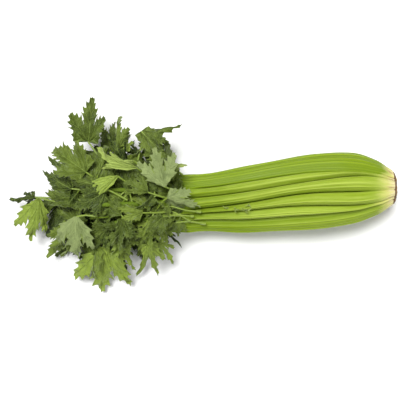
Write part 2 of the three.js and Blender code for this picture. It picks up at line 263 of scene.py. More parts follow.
KNEE = 0.228
NECK = 0.036
SIDES_PER_RIB = 8
RIB_WIDTH = 0.0042
RIB_HEIGHT = 0.0010
STALK_BULGE = 0.055
BULGE_AT_CROWN = 0.25
BASE_BULGE = 0.06
BASE_AT = 0.013
BASE_LENGTH = 0.009
KNEE_PINCH = 0.022
PINCH_FROM = 0.17
KNEE_SAG = 0.0022
SAG_REACH = (0.10, 0.18)
MERGE_REACH = (0.010, 0.050)
MERGE_GAP = 0.0011
MERGE_RADIUS = 0.025
EDGE_POWER = 3.2
EDGE_FILL = 8
RIB_FADE = 0.045
OUTER_SHARE = 0.7
ROWS = 96
ROD_RADIUS = 0.0045
ROD_SIDES = 20
KNUCKLE = 0.10
KNUCKLE_LENGTH = 0.007
TIP_REACH = (-0.004, 0.001)
TIP_TAPER = 0.6
# Painted shade for stalks not listed by name; the same number sets how far their cream base runs.
USUAL_PAINTED_SHADE_AND_BLANCH = 0.4
INNER_NUMBERS = 20
FLOOR_CLEAR = 0.0001


def corner_points(node):
    """A CAD node's corner points, each once, and its triangles as indices into them."""
    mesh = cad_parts[node].data
    flat = np.empty(len(mesh.vertices) * 3)
    mesh.vertices.foreach_get("co", flat)
    points, index = np.unique(np.round(flat.reshape(-1, 3), 5), axis=0, return_inverse=True)
    triangles = [[int(index.ravel()[v]) for v in face.vertices] for face in mesh.polygons]
    return points, triangles


def stations(node):
    """A stalk's CAD rings from the crown to its tip: (reach, points across) for each."""
    points, _ = corner_points(node)
    reach = np.round(CUT_X - points[:, 0], 4)
    rings = []
    for at in np.unique(reach):
        ring = points[np.abs(reach - at) < 3e-4]
        if len(rings) and at - rings[-1][0] < 1e-3:
            continue
        rings.append((float(at), ring[:, 1:]))
    return rings


def ring_middles(rings):
    """The reach and the centre of every ring, and its mean radius."""
    centres = np.array([ring.mean(0) for _, ring in rings])
    sizes = [np.linalg.norm(ring - ring.mean(0), axis=1).mean() for _, ring in rings]
    return np.array([at for at, _ in rings]), centres, np.array(sizes)


def follow(at, known, values):
    """A smooth curve through known values, evaluated along an array of places."""
    known = np.asarray(known, float)
    values = np.asarray(values, float)
    slope = np.gradient(values, known, axis=0)
    i = np.clip(np.searchsorted(known, at) - 1, 0, len(known) - 2)
    span = known[i + 1] - known[i]
    t = np.clip((at - known[i]) / span, 0, 1)
    if values.ndim > 1:
        t, span = t[:, None], span[:, None]
    a, b = values[i], values[i + 1]
    rise = (1 - t) * slope[i] * span * t * (1 - t) - t * slope[i + 1] * span * t * (1 - t)
    return a + (b - a) * t * t * (3 - 2 * t) + rise


def smoothstep(low, high, value):
    t = np.clip((value - low) / (high - low), 0, 1)
    return t * t * (3 - 2 * t)


outer_names = sorted(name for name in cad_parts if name.startswith("stalk_outer"))
inner_names = sorted(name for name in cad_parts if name.startswith("stalk_inner"))
heart_names = sorted(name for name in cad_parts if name.startswith("stalk_heart"))
outer_rings = {name: stations(name) for name in outer_names}


def bundle_sections():
    """The bundle's centre and half sizes at each reach that every outer stalk has a ring at."""
    shared = [at for at, _ in outer_rings[outer_names[0]] if at <= KNEE + 1e-3]
    rows = []
    for at in shared:
        rings = [ring for name in outer_names for reach, ring in outer_rings[name] if abs(reach - at) < 5e-4]
        whole = np.concatenate(rings)
        low, high = whole.min(0), whole.max(0)
        rows.append([*((low + high) / 2), *((high - low) / 2)])
    return np.array(shared), np.array(rows)


BUNDLE_AT, BUNDLE = bundle_sections()


def stalk_profile(rings):
    """Where a stalk's crescent lies in the bundle at each reach: middle and half angle, back and wall."""
    known, rows = [], []
    for at, ring in rings:
        if at > KNEE + 1e-3:
            break
        centre_y, centre_z, half_y, half_z = follow(np.array([at]), BUNDLE_AT, BUNDLE)[0]
        y, z = (ring[:, 0] - centre_y) / half_y, (ring[:, 1] - centre_z) / half_z
        share = np.hypot(y, z)
        angle = np.arctan2(z, y)
        middle = math.atan2(np.sin(angle).mean(), np.cos(angle).mean())
        offset = np.angle(np.exp(1j * (angle - middle)))
        half = (offset.max() - offset.min()) / 2
        middle += (offset.max() + offset.min()) / 2
        outer = share >= np.sort(share)[len(share) // 2]
        across = (offset - (offset.max() + offset.min()) / 2) / half
        back_fit = np.polyfit(across[outer] ** 2, share[outer], 1)
        front_fit = np.polyfit(across[~outer] ** 2, share[~outer], 1)
        known.append(at)
        rows.append([middle, half, back_fit[1], back_fit[0], front_fit[1], front_fit[0]])
    rows = np.array(rows)
    rows[:, 0] = np.unwrap(rows[:, 0])
    return np.array(known), rows


def bar(name, sides, rows):
    """A cylinder one metre long on the X axis, its length cut into rows, ready to be shaped."""
    deselect()
    bpy.ops.mesh.primitive_cylinder_add(vertices=sides, radius=1, depth=1, rotation=(0, math.pi / 2, 0))
    piece = bpy.context.object
    piece.name = name
    bpy.ops.object.transform_apply(rotation=True)
    go_to("EDIT")
    bpy.ops.mesh.select_mode(type="EDGE")
    bpy.ops.mesh.select_all(action="DESELECT")
    go_to("OBJECT")
    x = [vertex.co.x for vertex in piece.data.vertices]
    for edge in piece.data.edges:
        edge.select = abs(x[edge.vertices[0]] - x[edge.vertices[1]]) > 0.5
    go_to("EDIT")
    bpy.ops.mesh.subdivide(number_cuts=rows - 1)
    go_to("OBJECT")
    return piece


def turn_of(points, sides):
    """How far round the bar each point is, from 0 to 1, in whole sides."""
    turn = (np.arctan2(points[:, 2], points[:, 1]) / (2 * math.pi)) % 1
    return np.round(turn * sides) / sides % 1


def read_points(piece):
    flat = np.empty(len(piece.data.vertices) * 3)
    piece.data.vertices.foreach_get("co", flat)
    return flat.reshape(-1, 3)


def write_points(piece, points):
    piece.data.vertices.foreach_set("co", np.ascontiguousarray(points, dtype=np.float32).ravel())
    piece.data.update()


def write_skin_map(piece, around, along):
    """The stalk's own map: once around its section, and metres along it."""
    uv = piece.data.uv_layers.active or piece.data.uv_layers.new(name="skin")
    loops = np.empty(len(piece.data.loops), int)
    piece.data.loops.foreach_get("vertex_index", loops)
    u = around[loops].copy()
    for face in piece.data.polygons:
        span = slice(face.loop_start, face.loop_start + face.loop_total)
        if face.loop_total == 4 and u[span].max() - u[span].min() > 0.5:
            u[span] = np.where(u[span] < 0.5, u[span] + 1, u[span])
    uv.data.foreach_set("uv", np.stack([u, along[loops]], 1).astype(np.float32).ravel())


def crescent(turn, profile, reach):
    """Angle and share for points around a crescent section, where turn runs 0 to 1 round it.

    By the crown the stalks flatten and close up against each other.
    """
    middle, half, back, back_bend, front, front_bend = profile.T
    apart = smoothstep(*MERGE_REACH, reach)
    half = half + (1 - apart) * MERGE_GAP / MERGE_RADIUS
    outside = turn < OUTER_SHARE
    across = np.where(outside, 2 * turn / OUTER_SHARE - 1, 1 - 2 * (turn - OUTER_SHARE) / (1 - OUTER_SHARE))
    bulge = BULGE_AT_CROWN + (1 - BULGE_AT_CROWN) * apart
    outer = back + back_bend * across**2 + STALK_BULGE * (0.6 - across**2) * bulge
    inner = front + front_bend * across**2
    edge = np.sqrt(np.clip(1 - np.abs(across) ** (EDGE_POWER + EDGE_FILL * (1 - apart)), 0, 1))
    centre, depth = (outer + inner) / 2, (outer - inner) / 2
    share = np.where(outside, centre + depth * edge, centre - depth * edge)
    return middle + half * across, share, across, outside


def stalk_section(turn, reach, known, rows):
    """Points of a stalk before its knee, as sideways and height, with the outward direction."""
    profile = follow(reach, known, rows)
    angle, share, across, outside = crescent(turn, profile, reach)
    bundle = follow(reach, BUNDLE_AT, BUNDLE)
    share = share * (1 + BASE_BULGE * np.exp(-(((reach - BASE_AT) / BASE_LENGTH) ** 2)))
    share = share * (1 - KNEE_PINCH * smoothstep(PINCH_FROM, KNEE, reach))
    y = bundle[:, 0] + bundle[:, 2] * share * np.cos(angle) - KNEE_SAG * smoothstep(*SAG_REACH, reach)
    z = bundle[:, 1] + bundle[:, 3] * share * np.sin(angle)
    out = np.stack([np.cos(angle), np.sin(angle)], 1)
    return np.stack([y, z], 1), out, across, outside


def make_stalk(name, rings, number):
    """One ribbed stalk along its CAD rings."""
    start, tip = rings[0][0], rings[-1][0]
    known, rows = stalk_profile(rings)
    width = 2 * rows[:, 1].max() * BUNDLE[:, 2].max() * rows[0, 2]
    ribs = max(5, round(width / RIB_WIDTH))
    sides = round(ribs * SIDES_PER_RIB / OUTER_SHARE)
    piece = bar(name, sides, ROWS)
    points = read_points(piece)
    turn = turn_of(points, sides)
    reach = start + (tip - start) * (0.5 - points[:, 0])
    before = np.minimum(reach, KNEE)
    flat, out, across, outside = stalk_section(turn, before, known, rows)
    rib = (across + 1) * ribs / 2 + 0.22 * np.sin(across * 5 + number * 1.7)
    strength = 0.65 + 0.55 * np.sin(np.floor(rib) * 2.4 + number)
    ridge = strength * (0.5 - 0.5 * np.cos(2 * math.pi * rib)) ** 1.2
    fade = smoothstep(start, RIB_FADE, reach) * (1 - np.abs(across) ** 4) * outside
    wave = 1 + 0.25 * np.sin(reach * 90 + across * 3 + number)
    flat = flat + out * (RIB_HEIGHT * ridge * fade * wave)[:, None]
    at, centres, sizes = ring_middles(rings)
    centre = follow(reach, at, centres)
    past = reach > KNEE
    knee_centre = follow(np.array([KNEE]), at, centres)[0]
    shape = flat - np.where(past[:, None], knee_centre, centre)
    radius = np.minimum(follow(reach, at, sizes), ROD_RADIUS)
    around = shape / np.maximum(np.linalg.norm(shape, axis=1), 1e-6)[:, None]
    closing = smoothstep(KNEE, KNEE + NECK, reach)[:, None]
    swell = 1 + KNUCKLE * np.exp(-(((reach - KNEE) / KNUCKLE_LENGTH) ** 2))[:, None]
    section = centre + (shape * (1 - closing) + around * radius[:, None] * closing) * swell
    end = smoothstep(tip + TIP_REACH[0], tip + TIP_REACH[1], reach)[:, None]
    section = centre + (section - centre) * (1 - TIP_TAPER * end)
    section[:, 1] = np.maximum(section[:, 1], FLOOR_CLEAR)
    write_points(piece, np.column_stack([CUT_X - reach, section]))
    write_skin_map(piece, turn, reach)
    rib_mark = piece.data.attributes.new("rib", "FLOAT", "POINT")
    rib_mark.data.foreach_set("value", np.clip(ridge * fade, 0, 1).astype(np.float32))
    return piece


def make_rod(name, rings):
    """A round heart stalk along its CAD rings."""
    start, tip = rings[0][0], rings[-1][0]
    piece = bar(name, ROD_SIDES, ROWS)
    points = read_points(piece)
    turn = turn_of(points, ROD_SIDES)
    reach = start + (tip - start) * (0.5 - points[:, 0])
    at, centres, sizes = ring_middles(rings)
    centre = follow(reach, at, centres)
    angle = turn * 2 * math.pi
    radius = follow(reach, at, sizes) * (1 + 0.05 * np.cos(angle * 5))
    section = centre + np.stack([np.cos(angle), np.sin(angle)], 1) * radius[:, None]
    write_points(piece, np.column_stack([CUT_X - reach, section]))
    write_skin_map(piece, turn, reach)
    return piece


def skin_group():
    """Strings and mottling of a stalk's skin, from its own map: a string mask, a mottle and a height."""
    group = node_group(
        "stalk_skin",
        [("Map", "NodeSocketVector", None), ("Strings", "NodeSocketFloat", 24.0)],
        [("String", "NodeSocketFloat"), ("Mottle", "NodeSocketFloat"), ("Height", "NodeSocketFloat")],
    )
    nodes = Nodes(group)
    inputs = nodes.add("NodeGroupInput")
    outputs = nodes.add("NodeGroupOutput")
    skin_map = inputs.outputs["Map"]
    wander = nodes.noise(nodes.stretch(skin_map, (6, 22, 1)), 1.0, 2)
    u = nodes.plus(nodes.split(skin_map)[0], nodes.sway(wander, 0.012))
    wave = nodes.math("SINE", nodes.times(nodes.times(u, inputs.outputs["Strings"]), 2 * math.pi))
    thread = nodes.noise(nodes.stretch(skin_map, (160, 5, 1)), 1.0, 4, 0.6)
    string = nodes.plus(nodes.times(wave, 0.22), thread)
    fine = nodes.noise(nodes.stretch(skin_map, (420, 18, 1)), 1.0, 3, 0.6)
    mottle = nodes.noise(nodes.stretch(skin_map, (9, 34, 1)), 1.0, 4, 0.6)
    nodes.link(nodes.ramp(string, 0.28, 0.78), outputs.inputs["String"])
    nodes.link(mottle, outputs.inputs["Mottle"])
    nodes.link(nodes.plus(nodes.times(string, 0.7), nodes.times(fine, 0.35)), outputs.inputs["Height"])
    return group


STALK_SKIN = skin_group()


def stalk_material(name, pale, green, deep, cream):
    """Satin skin that runs from cream at the cut, through pale green, to deeper green at the knee."""
    material, nodes, shader = new_material(name, 0.38)
    skin_map = nodes.add("ShaderNodeTexCoord").outputs["UV"]
    skin = nodes.add("ShaderNodeGroup", node_tree=STALK_SKIN)
    nodes.link(skin_map, skin.inputs["Map"])
    string, mottle = skin.outputs["String"], skin.outputs["Mottle"]
    reach = nodes.plus(nodes.split(skin_map)[1], nodes.sway(mottle, 0.03))
    rib, shade = nodes.mark("rib"), nodes.mark("shade")
    # Ridges are painted paler and grooves greener: partly the strings' own paler colour, partly painted
    # highlight on the ridges and painted shade in the grooves.
    light = nodes.plus(nodes.times(rib, 0.75), nodes.times(string, 0.35), clamp=True)
    ribbed = nodes.mix(light, green, pale)
    # deeper: greener towards the knee, which is the stalk's own colour, plus the stalk's 'shade' mark. That
    # mark is painted shade that darkens a whole stalk for how light falls across the head. It also thins the
    # pale mottle and sets how far the cream base runs from the cut.
    deeper = nodes.plus(nodes.ramp(reach, 0.11, 0.26), nodes.times(shade, 0.8), clamp=True)
    ribbed = nodes.mix(deeper, ribbed, nodes.mix(light, deep, green))
    paler = nodes.times(nodes.ramp(mottle, 0.35, 0.75, 0.0, 0.35), nodes.math("SUBTRACT", 1.25, shade))
    ribbed = nodes.mix(paler, ribbed, pale)
    streak = nodes.noise(nodes.stretch(skin_map, (70, 9, 1)), 1.0, 4, 0.6)
    start = nodes.plus(reach, nodes.sway(streak, 0.022))
    blanched = nodes.times(start, nodes.plus(nodes.times(shade, 0.5), 0.72))
    colour = nodes.mix(nodes.ramp(blanched, 0.005, 0.027), cream, ribbed)
    colour = nodes.mix(nodes.ramp(blanched, 0.002, 0.012, 0.7, 0.0), colour, (0.74, 0.66, 0.42, 1))
    stain = nodes.noise(nodes.stretch(skin_map, (17, 12, 1)), 1.0, 5, 0.75)
    browned = nodes.times(nodes.ramp(stain, 0.5, 0.6), nodes.ramp(start, 0.006, 0.016, 0.95, 0.0))
    colour = nodes.mix(browned, colour, (0.30, 0.17, 0.06, 1))
    # Past the knee, where the stalks run in under the leaves, they are darkened towards deep green: painted
    # shade.
    colour = nodes.mix(nodes.ramp(reach, 0.225, 0.265, 0.0, 0.75), colour, (0.10, 0.165, 0.012, 1))
    scorched = nodes.ramp(nodes.plus(reach, nodes.times(stain, 0.002)), 0.0012, 0.0026, 0.95, 0.0)
    colour = nodes.mix(scorched, colour, (0.07, 0.035, 0.012, 1))
    nodes.link(colour, shader.inputs["Base Color"])
    nodes.link(nodes.ramp(string, 0, 1, 0.46, 0.32), shader.inputs["Roughness"])
    nodes.link(nodes.bump(skin.outputs["Height"], 0.00045, 0.8), shader.inputs["Normal"])
    shader.inputs["Subsurface Weight"].default_value = 0.12
    shader.inputs["Subsurface Radius"].default_value = (0.004, 0.005, 0.002)
    shader.inputs["Subsurface Scale"].default_value = 1.0
    shader.inputs["Specular IOR Level"].default_value = 0.16
    return material


OUTER_SKIN = stalk_material(
    "outer_stalk_skin",
    pale=(0.43, 0.53, 0.09, 1),
    green=(0.225, 0.32, 0.010, 1),
    deep=(0.13, 0.205, 0.004, 1),
    cream=(0.60, 0.59, 0.18, 1),
)
INNER_SKIN = stalk_material(
    "inner_stalk_skin",
    pale=(0.46, 0.56, 0.11, 1),
    green=(0.33, 0.44, 0.05, 1),
    deep=(0.25, 0.36, 0.035, 1),
    cream=(0.72, 0.67, 0.28, 1),
)
HEART_SKIN = stalk_material(
    "heart_stalk_skin",
    pale=(0.72, 0.74, 0.32, 1),
    green=(0.62, 0.66, 0.20, 1),
    deep=(0.50, 0.58, 0.13, 1),
    cream=(0.82, 0.78, 0.48, 1),
)
# Painted shade for each stalk, darkest on the stalks at the two edges of the bundle where less light falls.
# The same number also sets how far each stalk's cream base runs.
STALK_PAINTED_SHADE_AND_BLANCH = {
    "stalk_outer_a": 1.2,
    "stalk_outer_b": 0.25,
    "stalk_outer_c": 0.3,
    "stalk_outer_d": 0.3,
    "stalk_outer_e": 0.2,
    "stalk_outer_f": 0.85,
}


def finish_stalk(piece, material, slot, node):
    # The 'shade' mark carries this stalk's painted shade and the length of its cream base.
    shade = piece.data.attributes.new("shade", "FLOAT", "POINT")
    depth = STALK_PAINTED_SHADE_AND_BLANCH.get(node, USUAL_PAINTED_SHADE_AND_BLANCH)
    shade.data.foreach_set("value", np.full(len(piece.data.vertices), depth, np.float32))
    piece.data.materials.clear()
    piece.data.materials.append(material)
    deselect()
    piece.select_set(True)
    bpy.context.view_layer.objects.active = piece
    bpy.ops.object.shade_smooth_by_angle(angle=math.radians(50))
    grow(piece, slot, node)


for names, skin, first in ((outer_names, OUTER_SKIN, 0), (inner_names, INNER_SKIN, INNER_NUMBERS)):
    for number, name in enumerate(names, first):
        stalk = make_stalk(name.replace("stalk", "celery_stalk"), stations(name), number)
        finish_stalk(stalk, skin, "stalk", name)
for name in heart_names:
    rod = make_rod(name.replace("stalk", "celery_stalk"), stations(name))
    finish_stalk(rod, HEART_SKIN, "heart", name)


# ---- The leaves -----------------------------------------------------------------------------------
# Each is a thin petiolule with a wedge-shaped, deeply lobed leaflet at its end, and often a pair of
# smaller ones further down. The blades are soft, quilted between sunken veins, and paler beneath.

BLADE_ROWS = 5
BLADE_THICKNESS = 0.0004
TOOTH_STEPS = (0.0, 0.5, 1.0, 0.25)
VEIN_LEAN = 1.3
LOBE_WIDEST = 0.42
KINDS = {
    "broad": {
        "lobes": (
            dict(turn=0, length=1.0, half=0.165, teeth=5),
            dict(turn=38, length=0.74, half=0.13, teeth=4),
            dict(turn=70, length=0.42, half=0.07, teeth=1),
        ),
        "sinuses": ((20, 0.40), (56, 0.26), (100, 0.04)),
        "tooth": 0.13,
    },
    "fan": {
        "lobes": (
            dict(turn=0, length=1.0, half=0.125, teeth=4),
            dict(turn=33, length=0.88, half=0.115, teeth=4),
        ),
        "sinuses": ((17, 0.38), (80, 0.05)),
        "tooth": 0.14,
    },
    "narrow": {
        "lobes": (
            dict(turn=0, length=1.0, half=0.075, teeth=3),
            dict(turn=36, length=0.66, half=0.055, teeth=2),
            dict(turn=72, length=0.34, half=0.04, teeth=1),
        ),
        "sinuses": ((17, 0.24), (54, 0.16), (100, 0.03)),
        "tooth": 0.12,
    },
    "young": {
        "lobes": (
            dict(turn=0, length=1.0, half=0.11, teeth=3),
            dict(turn=22, length=0.66, half=0.07, teeth=2),
        ),
        "sinuses": ((11, 0.50), (70, 0.04)),
        "tooth": 0.05,
    },
}


def lobe_half(lobe, side, sinus_turn, sinus_reach, tooth):
    """Half of one lobe: a grid from its vein to its toothed edge, with teeth that point along the veins."""
    deselect()
    steps = lobe["teeth"] * len(TOOTH_STEPS)
    bpy.ops.mesh.primitive_grid_add(x_subdivisions=steps, y_subdivisions=BLADE_ROWS, size=1)
    piece = bpy.context.object
    grid = read_points(piece) + 0.5
    e, q = grid[:, 0], grid[:, 1]
    turn = math.radians(lobe["turn"])
    length, half = lobe["length"], lobe["half"]
    apart = math.radians(abs(sinus_turn - lobe["turn"]))
    sinus_a, sinus_b = sinus_reach * math.cos(apart), sinus_reach * math.sin(apart)

    def margin(e):
        rise = smoothstep(0, LOBE_WIDEST, e)
        fall = np.clip((e - LOBE_WIDEST) / (1 - LOBE_WIDEST), 0, 1) ** 1.15
        b = np.where(e < LOBE_WIDEST, sinus_b + (half - sinus_b) * rise, half * (1 - fall))
        return sinus_a + (length - sinus_a) * e, b

    table = np.linspace(0, 1, steps + 1)
    table_a, table_b = margin(table)
    spine = np.maximum.accumulate(table_a - sinus_a - VEIN_LEAN * (table_b - sinus_b))
    spine = np.interp(e, table, spine / spine[-1] * length)
    a, b = margin(e)
    column = np.rint(e * steps).astype(int) % len(TOOTH_STEPS)
    point = np.array(TOOTH_STEPS)[column] * tooth * smoothstep(0.0, 0.3, e) * (1 - e) ** 0.5
    a, b = a + VEIN_LEAN * 0.7 * point, b + 0.7 * point
    along = spine + (a - spine) * q
    away = b * q * side
    x = along * math.cos(turn) - away * math.sin(turn)
    y = along * math.sin(turn) + away * math.cos(turn)
    quilt = 0.5 + 0.5 * np.cos(2 * math.pi * e * lobe["teeth"])
    height = 0.016 * quilt * np.sin(math.pi * np.clip(q * 1.1, 0, 1)) + 0.05 * q * b
    write_points(piece, np.column_stack([x, y, height]))
    uv = piece.data.uv_layers.active
    flat = np.empty(len(piece.data.loops) * 2)
    uv.data.foreach_get("uv", flat)
    flat = flat.reshape(-1, 2) * (lobe["teeth"], 1)
    uv.data.foreach_set("uv", flat.astype(np.float32).ravel())
    uv.name = "veins"
    if side < 0:
        piece.data.flip_normals()
    return piece


def join(pieces):
    """Many pieces become one; the first gives it its name."""
    deselect()
    for piece in pieces:
        piece.select_set(True)
    bpy.context.view_layer.objects.active = pieces[0]
    if len(pieces) > 1:
        bpy.ops.object.join()
    return pieces[0]


def make_blade(name, kind):
    """A whole blade one unit long, lying flat with its foot at the origin."""
    halves = []
    for number, lobe in enumerate(kind["lobes"]):
        sides = [(1, kind["sinuses"][number])]
        if number:
            sides.append((-1, kind["sinuses"][number - 1]))
        for side, (sinus_turn, sinus_reach) in sides:
            half = lobe_half(lobe, side, sinus_turn, sinus_reach, kind["tooth"])
            halves.append(half)
            mirrored = half.copy()
            mirrored.data = half.data.copy()
            bpy.context.scene.collection.objects.link(mirrored)
            write_points(mirrored, read_points(half) * (1, -1, 1))
            mirrored.data.flip_normals()
            halves.append(mirrored)
    blade = join(halves)
    blade.name = name
    go_to("EDIT")
    bpy.ops.mesh.select_all(action="SELECT")
    bpy.ops.mesh.remove_doubles(threshold=0.002)
    bpy.ops.mesh.dissolve_degenerate(threshold=0.0005)
    go_to("OBJECT")
    mesh = blade.data
    bpy.data.objects.remove(blade)
    return mesh


BLADES = {name: make_blade(name + "_blade", kind) for name, kind in KINDS.items()}


def spread(ring):
    return max(np.linalg.norm(a - b) for a in ring for b in ring)


def leaf_rings(node):
    """The centres of a CAD leaf's rings, from the stem to the tip."""
    points, triangles = corner_points(node)
    near = [set() for _ in points]
    for a, b, c in triangles:
        near[a] |= {b, c}
        near[b] |= {a, c}
        near[c] |= {a, b}
    ends = {v for v, others in enumerate(near) if len(others) < 6}
    front = {min(ends)}
    while True:
        wider = front | {v for u in front for v in near[u] if v in ends}
        if wider == front:
            break
        front = wider
    depth = dict.fromkeys(front, 0)
    while front:
        level = max(depth.values()) + 1
        front = {v for u in front for v in near[u] if v not in depth}
        depth.update(dict.fromkeys(front, level))
    rings = [points[[v for v in depth if depth[v] == k]] for k in range(max(depth.values()) + 1)]
    if spread(rings[1]) > 1.5 * spread(rings[0]):
        rings.reverse()
    return np.array([ring.mean(0) for ring in rings])


def unit(vector):
    return np.asarray(vector) / np.linalg.norm(vector)


def axes_along(along, roll=0.0):
    """Side and up directions for something that points along, rolled about it."""
    side = unit(np.cross((0, 0, 1), along))
    up = unit(np.cross(along, side))
    return math.cos(roll) * side + math.sin(roll) * up, math.cos(roll) * up - math.sin(roll) * side


def turned(y, h, angle):
    return y * np.cos(angle) - h * np.sin(angle), y * np.sin(angle) + h * np.cos(angle)


def bent(points, foot, tip, shape):
    """A flat blade's points bent and carried to their place between foot and tip."""
    x, y, h = points.T
    y = y * shape.width * (1 + shape.lopsided * np.sign(y))
    reach, angle = np.hypot(x, y), np.arctan2(y, x)
    aside = np.minimum(1, 3 * np.abs(angle))
    h = h + shape.ruffle * reach**1.4 * np.sin(shape.waves * angle + shape.phases[0]) * aside
    h = h + 0.45 * shape.ruffle * reach**2 * np.sin(15 * x + 19 * y + shape.phases[1])
    h = h + 0.3 * shape.ruffle * np.abs(y) * np.sin(34 * x + shape.phases[2])
    h = h - shape.droop * reach**3
    y, h = turned(y, h, np.sign(y) * shape.fold * np.minimum(1, np.abs(y) * 12))
    y, h = turned(y, h, shape.twist * (x - 0.3))
    length = np.linalg.norm(tip - foot)
    along = (tip - foot) / length
    side, up = axes_along(along, shape.roll)
    curl = max(shape.curl, 0.05)
    radius = 1 / (2 * math.sin(curl / 2))
    bend = curl * (x - 0.5)
    forward = (radius + h) * np.sin(bend) + radius * math.sin(curl / 2)
    lift = (radius + h) * np.cos(bend) - radius * math.cos(curl / 2)
    return foot + length * (forward[:, None] * along + y[:, None] * side + lift[:, None] * up)


def put_blade(name, kind, foot, tip, tone, shape, pale=False):
    """A copy of a blade bent into its place, with its own shade; a pale one lies underside up."""
    mesh = BLADES[kind].copy()
    mesh.polygons.foreach_set("material_index", np.full(len(mesh.polygons), int(pale), np.int32))
    mesh.name = name
    blade = bpy.data.objects.new(name, mesh)
    bpy.context.scene.collection.objects.link(blade)
    points = bent(read_points(blade), foot, tip, shape)
    points[:, 2] = np.maximum(points[:, 2], BLADE_THICKNESS + FLOOR_CLEAR)
    write_points(blade, points)
    shade = mesh.attributes.new("tone", "FLOAT", "POINT")
    shade.data.foreach_set("value", np.full(len(points), tone, np.float32))
    return blade


def put_stem(name, route, start, end):
    """A thin round stem along a route, closed at both ends."""
    stem = bar(name, 8, len(route) - 1)
    points = read_points(stem)
    route = np.array(route)
    row = np.rint((0.5 - points[:, 0]) * (len(route) - 1)).astype(int)
    angle = np.arctan2(points[:, 2], points[:, 1])
    placed = np.empty_like(points)
    for i, centre in enumerate(route):
        ahead = route[min(i + 1, len(route) - 1)] - route[max(i - 1, 0)]
        side, up = axes_along(unit(ahead))
        radius = start + (end - start) * i / (len(route) - 1)
        here = row == i
        round_it = np.cos(angle[here])[:, None] * side + np.sin(angle[here])[:, None] * up
        placed[here] = centre + radius * round_it
    placed[:, 2] = np.maximum(placed[:, 2], FLOOR_CLEAR)
    write_points(stem, placed)
    stem.data.flip_normals()
    return stem


def vein_group():
    """Veins of a blade from its own map: mid vein, veins to the teeth and a fine net between them."""
    group = node_group(
        "leaf_veins",
        [("Map", "NodeSocketVector", None), ("Place", "NodeSocketVector", None)],
        [
            ("Vein", "NodeSocketFloat"),
            ("Net", "NodeSocketFloat"),
            ("Height", "NodeSocketFloat"),
            ("Edge", "NodeSocketFloat"),
        ],
    )
    nodes = Nodes(group)
    inputs = nodes.add("NodeGroupInput")
    outputs = nodes.add("NodeGroupOutput")
    t, q, _ = nodes.split(inputs.outputs["Map"])
    mid = nodes.ramp(q, 0.02, 0.12, 1.0, 0.0)
    beside = nodes.math("ABSOLUTE", nodes.math("SUBTRACT", nodes.math("FRACT", t), 0.5))
    thin = nodes.ramp(q, 0.5, 1.0, 0.8, 0.2)
    tooth = nodes.times(nodes.ramp(beside, 0.02, 0.11, 1.0, 0.0), thin)
    vein = nodes.math("MAXIMUM", mid, tooth)
    cells = nodes.add("ShaderNodeTexVoronoi", feature="DISTANCE_TO_EDGE")
    nodes.link(inputs.outputs["Place"], cells.inputs["Vector"])
    cells.inputs["Scale"].default_value = 420
    net = nodes.ramp(cells.outputs["Distance"], 0.02, 0.16, 1.0, 0.0)
    nodes.link(vein, outputs.inputs["Vein"])
    nodes.link(net, outputs.inputs["Net"])
    sunk = nodes.plus(nodes.times(vein, -1.0), nodes.times(net, -0.35))
    nodes.link(sunk, outputs.inputs["Height"])
    nodes.link(nodes.ramp(q, 0.86, 1.0), outputs.inputs["Edge"])
    return group


LEAF_VEINS = vein_group()


def leaf_material(name, dark, light, young, vein_colour, roughness, bump_sign):
    """A matt, slightly waxy blade: its colour from its own tone, patches, and veins, with painted light on
    blades high in the head and painted shade on dark blades low in it.
    """
    material, nodes, shader = new_material(name, roughness)
    coords = nodes.add("ShaderNodeTexCoord")
    place = coords.outputs["Object"]
    veins = nodes.add("ShaderNodeGroup", node_tree=LEAF_VEINS)
    nodes.link(coords.outputs["UV"], veins.inputs["Map"])
    nodes.link(place, veins.inputs["Place"])
    tone = nodes.mark("tone")
    level = nodes.split(place)[2]
    patch = nodes.noise(place, 75, 4, 0.6)
    shade = nodes.plus(nodes.times(tone, 2.0, clamp=True), nodes.sway(patch, 0.8), clamp=True)
    # Blades high in the head are lightened: painted light.
    shade = nodes.plus(shade, nodes.ramp(level, 0.055, 0.085, 0.0, 0.12), clamp=True)
    colour = nodes.mix(shade, dark, light)
    # Dark-toned blades low in the head are darkened further: painted shade.
    painted_depth_shade = nodes.times(nodes.ramp(level, 0.02, 0.06, 0.75, 0.0), nodes.ramp(tone, 0.1, 0.3, 1.0, 0.0))
    colour = nodes.mix(painted_depth_shade, colour, dark)
    colour = nodes.mix(nodes.ramp(tone, 0.5, 1.0), colour, young)
    for part, amount, tint in (("Net", 0.2, vein_colour), ("Vein", 0.45, vein_colour), ("Edge", 0.25, light)):
        colour = nodes.mix(nodes.times(veins.outputs[part], amount), colour, tint)
    nodes.link(colour, shader.inputs["Base Color"])
    nodes.link(nodes.ramp(patch, 0.2, 0.8, roughness - 0.08, roughness + 0.1), shader.inputs["Roughness"])
    relief = nodes.times(veins.outputs["Height"], bump_sign)
    relief = nodes.plus(relief, nodes.times(nodes.noise(place, 1600, 3, 0.6), 0.35))
    relief = nodes.plus(relief, nodes.times(nodes.noise(place, 120, 2, 0.4), 4.5))
    nodes.link(nodes.bump(relief, 0.0007, 0.9), shader.inputs["Normal"])
    shader.inputs["Specular IOR Level"].default_value = 0.2
    return material


LEAF_TOP = leaf_material(
    "leaf_upper_side",
    dark=(0.007, 0.018, 0.001, 1),
    light=(0.25, 0.34, 0.045, 1),
    young=(0.33, 0.42, 0.10, 1),
    vein_colour=(0.25, 0.34, 0.07, 1),
    roughness=0.42,
    bump_sign=1.0,
)
LEAF_UNDER = leaf_material(
    "leaf_underside",
    dark=(0.025, 0.05, 0.008, 1),
    light=(0.30, 0.37, 0.135, 1),
    young=(0.36, 0.44, 0.11, 1),
    vein_colour=(0.34, 0.42, 0.16, 1),
    roughness=0.55,
    bump_sign=-1.0,
)


